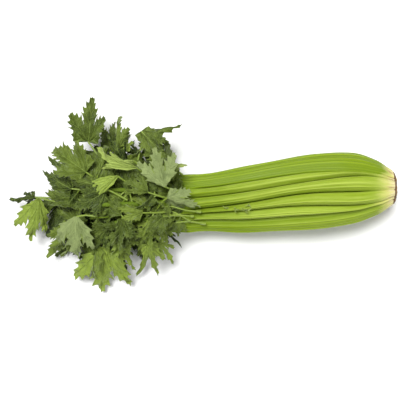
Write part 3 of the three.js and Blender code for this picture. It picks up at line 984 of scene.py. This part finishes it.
def stem_material():
    """Leaf stems: smooth yellow-green, with faint strings."""
    material, nodes, shader = new_material("leaf_stem_skin", 0.42)
    place = nodes.add("ShaderNodeTexCoord").outputs["Object"]
    patch = nodes.noise(place, 120, 4, 0.6)
    nodes.link(nodes.mix(patch, (0.12, 0.19, 0.015, 1), (0.27, 0.36, 0.05, 1)), shader.inputs["Base Color"])
    nodes.link(nodes.bump(nodes.noise(place, 900, 3, 0.6), 0.0004), shader.inputs["Normal"])
    return material


LEAF_STEM = stem_material()

# Leaves that show clearly: their blade, its shade from dark 0 to yellow 1, and its width and bends.
LEAF_LOOKS = {
    "leaf_side_4": dict(kind="broad", tone=0.14, width=0.85, roll=0.1, lopsided=0.2),
    "leaf_low_4": dict(kind="fan", tone=0.42, width=1.1, roll=0.0, fold=-0.1, twist=0.0, stretch=1.08),
    "leaf_side_3": dict(kind="fan", tone=0.42, width=0.78, roll=-0.2, fold=-0.25),
    "leaf_mid_7": dict(kind="fan", tone=0.34, width=1.05, roll=0.1, fold=-0.3, pale=True),
    "leaf_side_7": dict(kind="narrow", tone=0.12, width=1.0),
    "leaf_high_2": dict(kind="broad", tone=0.12, width=0.75, turned=True),
    "leaf_front_1": dict(kind="broad", tone=0.28, width=0.9, fold=-0.5, pale=True, stretch=1.2),
    "leaf_top_1": dict(kind="fan", tone=0.28, width=1.05, roll=-0.3, pale=True, stretch=1.4),
    "leaf_high_8": dict(kind="young", tone=0.85, width=0.6, curl=1.2, fold=0.5),
    "leaf_high_3": dict(kind="young", tone=0.9, width=0.6, curl=1.5, fold=-0.6),
    "leaf_high_6": dict(kind="young", tone=0.62, width=0.9, fold=-0.5, roll=0.3),
    "leaf_side_5": dict(kind="young", tone=0.7, width=0.7),
    "leaf_front_2": dict(kind="young", tone=0.95, width=0.7, curl=1.9),
    "leaf_side_1": dict(kind="narrow", tone=0.34, width=0.7),
    "leaf_side_2": dict(kind="narrow", tone=0.36, width=0.7),
    "leaf_low_1": dict(kind="narrow", tone=0.32, width=0.75),
    "leaf_low_5": dict(kind="narrow", tone=0.32, width=0.85),
    "leaf_low_3": dict(kind="narrow", tone=0.10, width=1.0),
    "leaf_high_5": dict(kind="broad", tone=0.24, width=0.8, roll=0.5),
    "leaf_high_4": dict(kind="broad", tone=0.06, width=0.8, roll=-0.5),
    "leaf_mid_3": dict(kind="broad", tone=0.16, width=1.05, roll=0.15, stretch=1.1),
    "leaf_high_1": dict(kind="broad", tone=0.08, width=0.9),
}
YOUNG_LEAVES = {"leaf_front_2", "leaf_side_5", "leaf_high_3", "leaf_high_8"}
BLADE_FROM = 2
STEM_RADIUS = 0.0013

# Pairs of leaflets below the blade. A leaf with looks of its own has as many as this says, or none,
# and every other leaf has the usual number.
PAIRS = {"leaf_low_3": 1, "leaf_high_4": 1, "leaf_mid_3": 1, "leaf_high_1": 2, "leaf_high_5": 1}
USUAL_PAIRS = 2
PAIR_TURNS = (math.radians(60), math.radians(60) + 0.6)
PAIR_SIZE = 0.9
PAIR_STEM = 0.12
PAIR_FLOOR = 0.003


def finish_leaf(title, blades, stems):
    """Blades get their thickness and their two finishes, and are joined to their stems."""
    for blade in blades:
        for material in (LEAF_TOP, LEAF_UNDER, LEAF_TOP):
            blade.data.materials.append(material)
    sheet = join(blades)
    wall = sheet.modifiers.new("thickness", "SOLIDIFY")
    wall.thickness = BLADE_THICKNESS
    wall.offset = -1
    wall.material_offset = 1
    wall.material_offset_rim = 1
    bpy.ops.object.modifier_apply(modifier=wall.name)
    stem = join(stems)
    stem.data.materials.append(LEAF_STEM)
    leaf = join([sheet, stem])
    leaf.name = title
    bpy.ops.object.shade_smooth_by_angle(angle=math.radians(60))
    return leaf


def random_shape(rng, looks, curl, roll):
    """A blade's own bends, with those that its leaf is given.

    Angles are in radians and sizes in shares of the blade's length.
    """
    shape = {
        "width": rng.uniform(0.75, 1.0),
        "curl": curl,
        "roll": rng.uniform(-roll, roll),
        "fold": rng.uniform(-1.0, 0.5),
        "twist": rng.uniform(-0.9, 0.9),
        "ruffle": rng.uniform(0.07, 0.14),
        "droop": rng.uniform(-0.05, 0.2),
        "lopsided": rng.uniform(-0.2, 0.2),
    }
    for key, value in looks.items():
        if key in shape:
            shape[key] = value
            if key == "roll":
                shape["twist"] *= 0.4
    return SimpleNamespace(**shape, phases=rng.uniform(0, 2 * math.pi, 3), waves=rng.uniform(3.6, 6.0))


def make_leaf(name, seed):
    """One leaf along its CAD node: its stem, the leaflet at its end and often a lower pair."""
    rng = np.random.default_rng(seed)
    looks = LEAF_LOOKS.get(name, {})
    centres = leaf_rings(name)
    foot, tip = centres[BLADE_FROM], centres[-1]
    kind = looks.get("kind", ("broad", "fan", "broad", "narrow")[int(rng.integers(4))])
    tone = looks.get("tone", rng.uniform(0.05, 0.30) ** 1.1)
    length = np.linalg.norm(tip - foot)
    first = unit(centres[BLADE_FROM + 2] - foot)
    last = unit(tip - centres[-3])
    curl = float(np.clip(math.acos(np.clip(first @ last, -1, 1)), 0.3, 1.3))
    title = name.replace("leaf", "celery_leaf")
    stem_route = [centres[0], (centres[0] + centres[1]) / 2, centres[1], (centres[1] + foot) / 2, foot]
    if looks.get("turned"):
        foot, tip = tip, foot
        stem_route += [(centres[4] + foot) / 2, foot]
    tip = foot + (tip - foot) * looks.get("stretch", 1.0)
    stems = [put_stem(title, stem_route, STEM_RADIUS, STEM_RADIUS * 0.7)]
    shape = random_shape(rng, looks, curl, 0.6)
    blades = [put_blade(title + "_blade", kind, foot, tip, tone, shape, looks.get("pale", False))]
    for pair in range(PAIRS.get(name, 0 if name in LEAF_LOOKS else USUAL_PAIRS)):
        along = unit(foot - centres[0])
        side, up = axes_along(along)
        for hand in (-1, 1):
            turn = PAIR_TURNS[pair] + rng.uniform(-0.35, 0.35)
            way = unit(math.cos(turn) * along + hand * math.sin(turn) * side - rng.uniform(-0.2, 0.7) * up)
            start = (centres[1], centres[0])[pair] + (foot - centres[1]) * rng.uniform(0.1, 0.5)
            root = start + way * length * PAIR_STEM
            end = root + way * length * PAIR_SIZE * rng.uniform(0.8, 1.15)
            root[2] = max(root[2], PAIR_FLOOR)
            end[2] = max(end[2], PAIR_FLOOR)
            route = [start, (start + root) / 2, root]
            stems.append(put_stem("pair_stem", route, STEM_RADIUS * 0.7, STEM_RADIUS * 0.5))
            shape = random_shape(rng, {}, rng.uniform(0.3, 1.4), 1.0)
            pair_kind = ("broad", "fan", "narrow")[int(rng.integers(3))]
            pair_tone = max(0.0, tone + rng.uniform(-0.1, 0.16))
            blades.append(put_blade("pair_blade", pair_kind, root, end, pair_tone, shape))
    leaf = finish_leaf(title, blades, stems)
    grow(leaf, "young_leaf" if name in YOUNG_LEAVES else "leaf", name)


leaf_names = sorted(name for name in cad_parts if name.startswith("leaf"))
for seed, name in enumerate(leaf_names):
    make_leaf(name, seed + 1)


# ---- The side leaves ------------------------------------------------------------------------------
# Smaller leaves of the same soft kind, which fill the head between the large ones. They grow on short
# stems, alternately from both sides of every outer and inner stalk past its knee.

CROWD_REACHES = (0.244, 0.268, 0.292)
CROWD_LENGTH = (0.036, 0.052)
CROWD_STEM = 0.012
CROWD_SPLAY = 8
CROWD_SIDES = (-0.068, 0.082)
CROWD_TAPER = 0.8
TAPER_TO = 0.29
CROWD_HEIGHTS = (0.004, 0.080)
CROWD_SEEDS = 100
BARE_KNEES = {"stalk_outer_e", "stalk_outer_f", "stalk_outer_g"}


def crowd_leaves(node, rings, seed):
    """The side leaves of one stalk, from its knee to its tip."""
    rng = np.random.default_rng(seed)
    at, centres, _ = ring_middles(rings)
    blades, stems = [], []
    for number, reach in enumerate(CROWD_REACHES):
        reach = reach + rng.uniform(-0.006, 0.006)
        if reach > at[-1] - 0.004 or (number == 0 and node in BARE_KNEES):
            continue
        y, z = follow(np.array([reach]), at, centres)[0]
        start = np.array((CUT_X - reach, y, z))
        hand = -1 if (number + seed) % 2 else 1
        back = rng.uniform(0.1, 0.9)
        aside = hand * rng.uniform(0.5, 1.1) + y * CROWD_SPLAY
        way = unit((-back, aside, rng.uniform(-0.35, 0.35)))
        root = start + way * CROWD_STEM
        end = root + way * rng.uniform(*CROWD_LENGTH)
        near_side = CROWD_SIDES[0] + CROWD_TAPER * max(0.0, TAPER_TO - reach)
        for point in (root, end):
            point[1] = np.clip(point[1], near_side, CROWD_SIDES[1])
            point[2] = np.clip(point[2], *CROWD_HEIGHTS)
        route = [start, (start + root) / 2, root]
        stems.append(put_stem("crowd_stem", route, STEM_RADIUS, STEM_RADIUS * 0.6))
        shape = random_shape(rng, {}, rng.uniform(0.3, 1.4), 1.1)
        kind = ("broad", "fan", "narrow", "broad")[int(rng.integers(4))]
        # The side leaves' tone is drawn low and dark: partly their own random tone, partly painted shade for
        # the inside of the head.
        blades.append(put_blade("crowd_blade", kind, root, end, rng.uniform(0.0, 0.55) ** 1.7, shape))
    leaf = finish_leaf(node.replace("stalk", "celery_side_leaves"), blades, stems)
    grow(leaf, "leaf")


for seed, name in enumerate(outer_names + inner_names):
    crowd_leaves(name, stations(name), seed + CROWD_SEEDS)


# ---- The side shoots ------------------------------------------------------------------------------
# Thin stems with a thicker foot that leave the lower stalks at their knees, and tiny young leaves that
# lie curled in the seam between two stalks. A place is the reach from the cut, then sideways and up.

SHOOTS = (
    ((0.214, -0.0295, 0.0520), (0.228, -0.0275, 0.0550), (0.246, -0.0290, 0.0560), (0.262, -0.0330, 0.0520)),
    ((0.219, -0.0165, 0.0610), (0.232, -0.0150, 0.0650), (0.248, -0.0110, 0.0650), (0.262, -0.0120, 0.0600)),
    ((0.226, -0.0215, 0.0590), (0.240, -0.0200, 0.0625), (0.256, -0.0170, 0.0620)),
    ((0.230, -0.0255, 0.0570), (0.243, -0.0180, 0.0640), (0.254, -0.0140, 0.0650)),
)
SHOOT_STEPS = 13
SHOOT_RADIUS = 0.0010
KNOB_RADIUS = 0.0017
SEAM_REACHES = (0.162, 0.168, 0.174, 0.179, 0.186)
SEAM_SIDE = -0.0135
SEAM_LIFT = 0.0008
CURL_LENGTH = 0.009

shoot_stems = []
for route in SHOOTS:
    places = np.array([(CUT_X - reach, y, z) for reach, y, z in route])
    steps = np.linspace(0, len(places) - 1, SHOOT_STEPS)
    smooth = follow(steps, np.arange(len(places)), places)
    shoot_stems.append(put_stem("shoot", list(smooth), SHOOT_RADIUS, SHOOT_RADIUS * 0.6))
    knob = [smooth[0] + (smooth[0] - smooth[1]) * share for share in (1.0, 0.6, 0.0, -0.6)]
    shoot_stems.append(put_stem("knob", knob, KNOB_RADIUS, KNOB_RADIUS))
rng = np.random.default_rng(9)
shoot_blades = []
for reach in SEAM_REACHES:
    bundle = follow(np.array([reach]), BUNDLE_AT, BUNDLE)[0]
    top = bundle[1] + bundle[3] * math.sqrt(1 - ((SEAM_SIDE - bundle[0]) / bundle[2]) ** 2)
    root = np.array((CUT_X - reach, SEAM_SIDE + rng.uniform(-0.001, 0.001), top + SEAM_LIFT))
    end = root + unit((rng.uniform(-1, 1), rng.uniform(-0.15, 0.3), 0.3)) * CURL_LENGTH
    shape = random_shape(rng, {"width": 0.8}, rng.uniform(1.4, 2.4), 1.2)
    shoot_blades.append(put_blade("curl", "narrow", root, end, rng.uniform(0.85, 1.0), shape))
shoots = finish_leaf("celery_side_shoots", shoot_blades, shoot_stems)
grow(shoots, "young_leaf")
for mesh in BLADES.values():
    bpy.data.meshes.remove(mesh)


# ---- The table, the light and the camera ----------------------------------------------------------
# A plain white table. Two wide soft lights stand above it, one stronger and one that fills the
# shadows, with a little light from all round. The camera looks straight down.

VIEW_HEIGHT = 0.96
VIEW_CENTRE = (0.0, -0.004)
LENS = 74.7
SENSOR = 36.0
SOFT_LIGHT = 0.20

deselect()
bpy.ops.mesh.primitive_plane_add(size=6)
table = bpy.context.object
table.name = "table"
white, _, white_shader = new_material("white_table", 0.9)
white_shader.inputs["Base Color"].default_value = (0.9, 0.9, 0.9, 1)
table.data.materials.append(white)

world = bpy.data.worlds.new("studio")
world.use_nodes = True
world_nodes = Nodes(world.node_tree)
background = world.node_tree.nodes["Background"]
background.inputs["Color"].default_value = (1, 1, 1, 1)
seen = world_nodes.add("ShaderNodeLightPath").outputs["Is Camera Ray"]
world_nodes.link(world_nodes.plus(seen, SOFT_LIGHT, clamp=True), background.inputs["Strength"])
bpy.context.scene.world = world

for name, place, softness, strength in (
    ("key_light", (-0.35, 0.5, 1.5), 25, 4.2),
    ("fill_light", (1.1, -0.5, 0.9), 45, 1.2),
):
    deselect()
    bpy.ops.object.light_add(type="SUN", location=place)
    light = bpy.context.object
    light.name = name
    light.data.angle = math.radians(softness)
    light.data.energy = strength
    light.rotation_euler = (Vector((0, 0, 0)) - Vector(place)).to_track_quat("-Z", "Y").to_euler()

deselect()
bpy.ops.object.camera_add(location=(*VIEW_CENTRE, VIEW_HEIGHT), rotation=(0, 0, 0))
camera = bpy.context.object
camera.name = "view_from_above"
camera.data.lens = LENS
camera.data.sensor_width = SENSOR
camera.data.clip_start = 0.01
bpy.context.scene.camera = camera
bpy.context.scene.view_settings.view_transform = "Standard"
